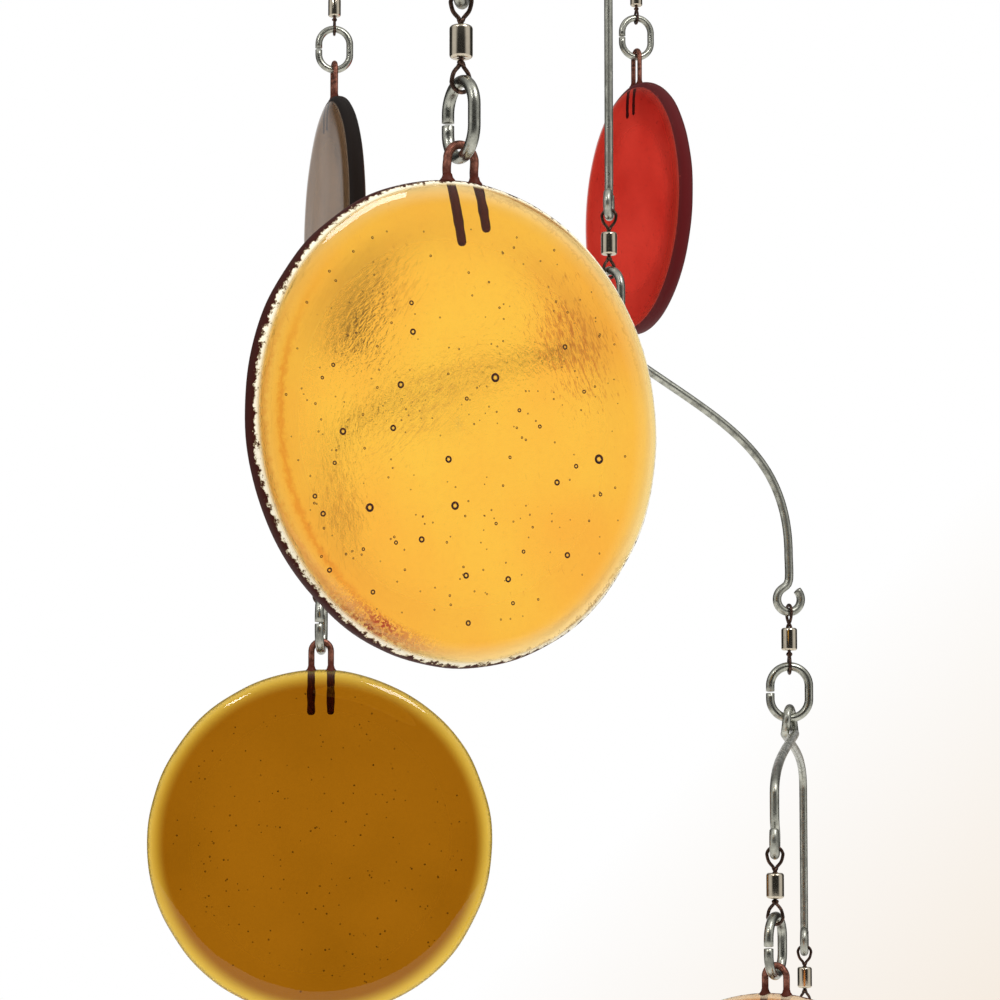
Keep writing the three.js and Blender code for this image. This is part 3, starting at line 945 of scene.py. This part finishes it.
class MOBILE_OT_metals(bpy.types.Operator):
    """Makes the metals of the wires, rings, swivels and loops"""

    bl_idname = "mobile.metals"
    bl_label = "Metals"

    def execute(self, context):
        wires = context.scene.mobile_wires
        bare_steel_wire("drawn_steel_arm_wire", wires.steel, 0.3)
        bare_steel_wire("drawn_steel_ring_wire", wires.steel, 0.22)
        nickel_plate(wires.nickel)
        blackened_wire(wires.blackened)
        return {"FINISHED"}


def eye_path(wires, foot):
    """The path of an eye in the XZ plane: up a twisted neck, round the held wire and back."""
    strand = (wires.eye + NECK_GAP) / 2
    bow = (max(wires.arm, wires.ring) + wires.eye) / 2 + LINK_GAP
    steps = 8
    climb = []
    for i in range(steps + 1):
        share = i / steps
        angle = math.pi * (share - 1)
        height = -foot + (EYE_NECK + foot) * share
        climb.append(Vector((strand * math.cos(angle), strand * math.sin(angle), height)))
    shoulder = Vector(((strand + bow) * 0.62, 0, (EYE_NECK + EYE_REACH) / 2 - 0.15 * MM))
    right = climb + [shoulder]
    left = [Vector((-p.x, -p.y, p.z)) for p in reversed(right)]
    return spread(right + arc(bow, 0, 180, 12, EYE_REACH) + left, EYE_SPACING)


class MOBILE_OT_swivels(bpy.types.Operator):
    """Makes the barrel swivels, each a barrel with a fixed eye and an eye that turns in it"""

    bl_idname = "mobile.swivels"
    bl_label = "Barrel Swivels"

    def execute(self, context):
        wires = context.scene.mobile_wires
        metals = [
            bpy.data.materials["nickel_plated_turned_brass"],
            bpy.data.materials["heat_blackened_brass_wire"],
        ]
        radius = wires.barrel_diameter / 2
        bore = wires.pin / 2 + PIN_CLEARANCE
        rounding = wires.barrel_rounding
        length = wires.barrel_length
        chamber = radius - BARREL_WALL
        chamber_top = BARREL_WALL + PIN_HEAD_LENGTH + 2 * PIN_CLEARANCE
        profile = [
            (0, chamber_top),
            (chamber, chamber_top),
            (chamber, BARREL_WALL),
            (bore + BARREL_LIP, BARREL_WALL),
            *rounded((bore + BARREL_LIP, BARREL_LIP), BARREL_LIP, 180, 270, 3),
            *rounded((radius - rounding, rounding), rounding, -90, 0, 6),
            *rounded((radius - rounding, length - rounding), rounding, 0, 90, 6),
            (DIMPLE_TOP, length),
            (DIMPLE_FLOOR, length - DIMPLE_DEPTH),
            (0, length - DIMPLE_DEPTH),
        ]
        barrel = turned(profile, BARREL_SIDES)
        upper_path = [p + Vector((0, 0, length)) for p in eye_path(wires, wires.eye)]
        upper_eye = tube(upper_path, wires.eye, EYE_SIDES)
        lower_path = [Vector((p.x, p.y, -p.z)) for p in eye_path(wires, -EYE_NECK * 0.45)]
        lower_eye = tube(lower_path, wires.eye, EYE_SIDES)
        head = BARREL_WALL + PIN_CLEARANCE
        pin = turned(
            [
                (0, -EYE_NECK * 0.9),
                (wires.pin / 2, -EYE_NECK * 0.8),
                (wires.pin / 2, head),
                (PIN_HEAD_RADIUS, head),
                (PIN_HEAD_RADIUS, head + PIN_HEAD_LENGTH),
                (0, head + PIN_HEAD_LENGTH),
            ],
            PIN_SIDES,
        )
        for name in ITEMS:
            holder = HOLDERS.get(name)
            heading = holder.heading if holder else 0
            body = holder.name if holder else "hanger"
            make_piece(
                f"{name}_barrel",
                [(*barrel, 0), (*upper_eye, 1)],
                metals,
                placed(wires, name, barrel_bottom(wires), heading + 90),
                body,
                f"{name}_swivel",
            )
            make_piece(
                f"{name}_turning_eye",
                [(*lower_eye, 1), (*pin, 1)],
                metals,
                placed(wires, name, barrel_bottom(wires), ITEMS[name].ring + 90),
                name,
                f"{name}_swivel_eye",
            )
        return {"FINISHED"}


class MOBILE_OT_split_rings(bpy.types.Operator):
    """Makes the oval rings, each split half way up one side"""

    bl_idname = "mobile.split_rings"
    bl_label = "Split Rings"

    def execute(self, context):
        wires = context.scene.mobile_wires
        bend = (wires.ring_width - wires.ring) / 2
        bottom = -(wires.ring_height - wires.ring) + bend
        middle = (bottom - bend) / 2
        path = [
            Vector((-bend, 0, middle - RING_SPLIT / 2)),
            *arc(bend, 180, 360, 32, bottom),
            *arc(bend, 0, 180, 32, -bend),
            Vector((-bend, 0, middle + RING_SPLIT / 2)),
        ]
        wire = tube(path, wires.ring, RING_SIDES, crown=0.12)
        for name, item in ITEMS.items():
            make_piece(
                f"{name}_split_ring",
                [(*wire, 0)],
                [bpy.data.materials["drawn_steel_ring_wire"]],
                placed(wires, name, ring_top(wires), item.ring),
                name,
                f"{name}_ring",
            )
        return {"FINISHED"}


def half_arm(wires, part, sideways):
    """Half of an arm, from the loop at the apex to the tip of its end loop."""
    radius = (wires.loop_bore + wires.arm) / 2
    leave = circle_point(radius, math.radians(270) - part.slope, -radius)
    start = Vector((APEX_REACH, 0, leave.z - (APEX_REACH - leave.x) * math.tan(part.slope)))
    end_centre = radius - part.drop
    leg_top = Vector((part.reach, 0, end_centre + LOOP_NECK + part.leg))
    along = (part.reach - APEX_REACH) * LEAD_SHARE
    lead = start + Vector((along, 0, -along * math.tan(part.slope)))
    trail = Vector((part.reach, 0, leg_top.z + (lead.z - leg_top.z) * TRAIL_SHARE))
    steps = 48
    curve = []
    for i in range(steps + 1):
        t = i / steps
        point = (
            start * (1 - t) ** 3
            + lead * 3 * t * (1 - t) ** 2
            + trail * 3 * t * t * (1 - t)
            + leg_top * t**3
        )
        point.y = sideways * (1 - t) ** 2
        curve.append(point)
    neck = [Vector((part.reach, 0, end_centre + LOOP_NECK))]
    loop = [p + Vector((part.reach, 0, 0)) for p in arc(radius, 120, 405, 30, end_centre)]
    return curve + neck + loop


class MOBILE_OT_arms(bpy.types.Operator):
    """Makes the arched arms, each one wire with a loop at its apex and at each end"""

    bl_idname = "mobile.arms"
    bl_label = "Arms"

    def execute(self, context):
        wires = context.scene.mobile_wires
        radius = (wires.loop_bore + wires.arm) / 2
        sideways = (wires.arm + STRAND_GAP) / 2
        for item in ARMS:
            left = [Vector((-p.x, -p.y, p.z)) for p in half_arm(wires, item.near, sideways)]
            right = half_arm(wires, item.far, sideways)
            turns = arc(
                radius,
                math.degrees(item.near.slope) - 90,
                270 - math.degrees(item.far.slope),
                32,
                -radius,
            )
            for i, point in enumerate(turns):
                point.y = sideways * (2 * i / (len(turns) - 1) - 1)
            path = spread(left[::-1] + turns + right, ARM_SPACING)
            wire = tube(path, wires.arm, ARM_SIDES, crown=0.2)
            make_piece(
                f"{item.name}_wire",
                [(*wire, 0)],
                [bpy.data.materials["drawn_steel_arm_wire"]],
                placed(wires, item.name, apex_top(wires), item.heading),
                item.name,
                item.name,
            )
        return {"FINISHED"}


class MOBILE_OT_copper_loops(bpy.types.Operator):
    """Makes the copper loops whose legs are fused into the glass"""

    bl_idname = "mobile.copper_loops"
    bl_label = "Copper Loops"

    def execute(self, context):
        wires = context.scene.mobile_wires
        flare = [(wires.copper / 2 * out, up * MM) for out, up in COLLAR]
        collar = turned(flare, COLLAR_SIDES)
        for item in SLABS:
            copper = fired_copper(wires.copper_colour, wires.scale_colour, item.rise)
            bend = item.leg_spacing / 2
            legs = []
            collars = []
            for side, depth in zip((-1, 1), item.depths):
                x = side * bend
                shift = depth * math.tan(item.lean)
                legs.append(
                    [Vector((x, 0, -item.rise)), Vector((x + shift, 0, -item.rise - depth))]
                )
                base = Vector((x, 0, -item.rise))
                collars.append(([v + base for v in collar[0]], collar[1]))
            path = spread([*legs[0][::-1], *arc(bend, 180, 0, 14, -bend), *legs[1]], COPPER_SPACING)
            lumps = [SCALE_GROWTH + SCALE_LUMPS * noise.noise(p / LUMP_SIZE) for p in path]
            scales = [1 + (lump if p.z < -item.rise else 0) for p, lump in zip(path, lumps)]
            wire = tube(path, wires.copper, COPPER_SIDES, scales=scales, crown=0.9)
            make_piece(
                f"{item.name}_copper_wire",
                [(*wire, 0), *((*placed_collar, 0) for placed_collar in collars)],
                [copper],
                placed(wires, item.name, copper_top(wires), item.heading),
                item.name,
                f"{item.name}_copper_loop",
            )
        return {"FINISHED"}


def slab_mesh(sizes, seed):
    """A round slab about Y with a fire-polished edge, as vertices and faces."""
    radius = sizes.diameter / 2
    half_thick = sizes.thickness / 2
    inner = radius - sizes.edge
    steps = 22
    face = [(inner * i / steps, half_thick) for i in range(1, steps + 1)]
    rounding = []
    corner_steps = 14
    for i in range(1, corner_steps + 1):
        a = math.pi / 2 * i / corner_steps
        rounding.append(
            (inner + sizes.edge * math.sin(a) ** 0.9, half_thick * math.cos(a) ** 0.75)
        )
    front = [(0, half_thick)] + face + rounding
    back = [(r, -h) for r, h in reversed(front[:-1])]
    verts, faces = turned(front + back, SLAB_SIDES, "Y")
    drift = Vector((seed * 5.1, seed * 2.7, seed * 1.3))
    for v in verts:
        place = v / WAVE_LENGTH + drift
        v.y += sizes.waviness * noise.noise(place)
        out = math.hypot(v.x, v.z)
        if out > inner:
            swell = 1 + RIM_UNEVENNESS / radius * noise.noise(place * 1.6 + Vector((9, 4, 2)))
            v.x *= swell
            v.z *= swell
    return verts, faces


def bubble_mesh(bubbles):
    """Small round bubbles, each given as (middle, diameter), as vertices and faces."""
    verts, faces = [], []
    for middle, diameter in bubbles:
        ball = bmesh.new()
        detail = 3 if diameter > 0.5 * MM else 2
        bmesh.ops.create_icosphere(ball, subdivisions=detail, radius=diameter / 2)
        base = len(verts)
        verts += [v.co + middle for v in ball.verts]
        faces += [tuple(base + v.index for v in face.verts) for face in ball.faces]
        ball.free()
    return verts, faces


class MOBILE_OT_glass_slabs(bpy.types.Operator):
    """Makes the slabs of fused glass"""

    bl_idname = "mobile.glass_slabs"
    bl_label = "Glass Slabs"

    def execute(self, context):
        wires = context.scene.mobile_wires
        sizes = context.scene.mobile_glass
        for item in SLABS:
            colour = getattr(sizes, item.name)
            glass = fused_glass(item.name, colour, sizes, LOOKS[item.name], item.seed)
            make_piece(
                f"{item.name}_glass",
                [(*slab_mesh(sizes, item.seed), 0)],
                [glass],
                slab_middle(wires, sizes, item),
                item.name,
                f"{item.name}_disc",
            )
        return {"FINISHED"}


class MOBILE_OT_bubbles(bpy.types.Operator):
    """Makes the air bubbles sealed in the glass"""

    bl_idname = "mobile.bubbles"
    bl_label = "Bubbles"

    def execute(self, context):
        wires = context.scene.mobile_wires
        sizes = context.scene.mobile_glass
        for item in SLABS:
            draw = random.Random(item.seed)
            bubbles = []
            deepest = sizes.thickness / 2 - BUBBLE_COVER
            if item.name == "amber":
                for across, up, diameter in AMBER_BUBBLES:
                    depth = draw.uniform(-deepest, LARGE_BUBBLE_FRONT)
                    middle = Vector((across * MM, depth, up * MM))
                    bubbles.append((middle, diameter * LARGE_BUBBLE_GROWTH * MM))
            for _ in range(sizes.tiny_bubbles):
                out = (sizes.diameter / 2 - BUBBLE_MARGIN) * math.sqrt(draw.random())
                angle = draw.uniform(0, 2 * math.pi)
                diameter = draw.choice(TINY_DIAMETERS) * MM
                middle = Vector(
                    (out * math.cos(angle), draw.uniform(-deepest, deepest), out * math.sin(angle))
                )
                bubbles.append((middle, diameter))
            air = trapped_air(item.name, LOOKS[item.name].bubble)
            make_piece(
                f"{item.name}_bubbles",
                [(*bubble_mesh(bubbles), 0)],
                [air],
                slab_middle(wires, sizes, item),
                item.name,
                None,
            )
        return {"FINISHED"}


OPERATORS = (
    MOBILE_OT_stage,
    MOBILE_OT_metals,
    MOBILE_OT_hanging_ring,
    MOBILE_OT_swivels,
    MOBILE_OT_split_rings,
    MOBILE_OT_arms,
    MOBILE_OT_copper_loops,
    MOBILE_OT_glass_slabs,
    MOBILE_OT_bubbles,
)
GROUPS = {
    "mobile_wires": MOBILE_PG_wires,
    "mobile_glass": MOBILE_PG_glass,
    "mobile_stage": MOBILE_PG_stage,
}


class MOBILE_PT_panel(bpy.types.Panel):
    """Sizes, colours and makers of the mobile"""

    bl_idname = "MOBILE_PT_panel"
    bl_label = "Glass Mobile"
    bl_space_type = "VIEW_3D"
    bl_region_type = "UI"
    bl_category = "Mobile"

    def draw(self, context):
        for group_name in GROUPS:
            group = getattr(context.scene, group_name)
            box = self.layout.box()
            for prop in group.bl_rna.properties:
                if prop.identifier not in ("rna_type", "name"):
                    box.prop(group, prop.identifier)
        for operator in OPERATORS:
            self.layout.operator(operator.bl_idname)


def register():
    for group_name, group in GROUPS.items():
        bpy.utils.register_class(group)
        setattr(bpy.types.Scene, group_name, PointerProperty(type=group))
    for operator in OPERATORS:
        bpy.utils.register_class(operator)
    bpy.utils.register_class(MOBILE_PT_panel)


def unregister():
    bpy.utils.unregister_class(MOBILE_PT_panel)
    for operator in reversed(OPERATORS):
        bpy.utils.unregister_class(operator)
    for group_name, group in GROUPS.items():
        delattr(bpy.types.Scene, group_name)
        bpy.utils.unregister_class(group)


def main():
    register()
    for operator in OPERATORS:
        group, name = operator.bl_idname.split(".")
        getattr(getattr(bpy.ops, group), name)()


if __name__ == "__main__":
    main()
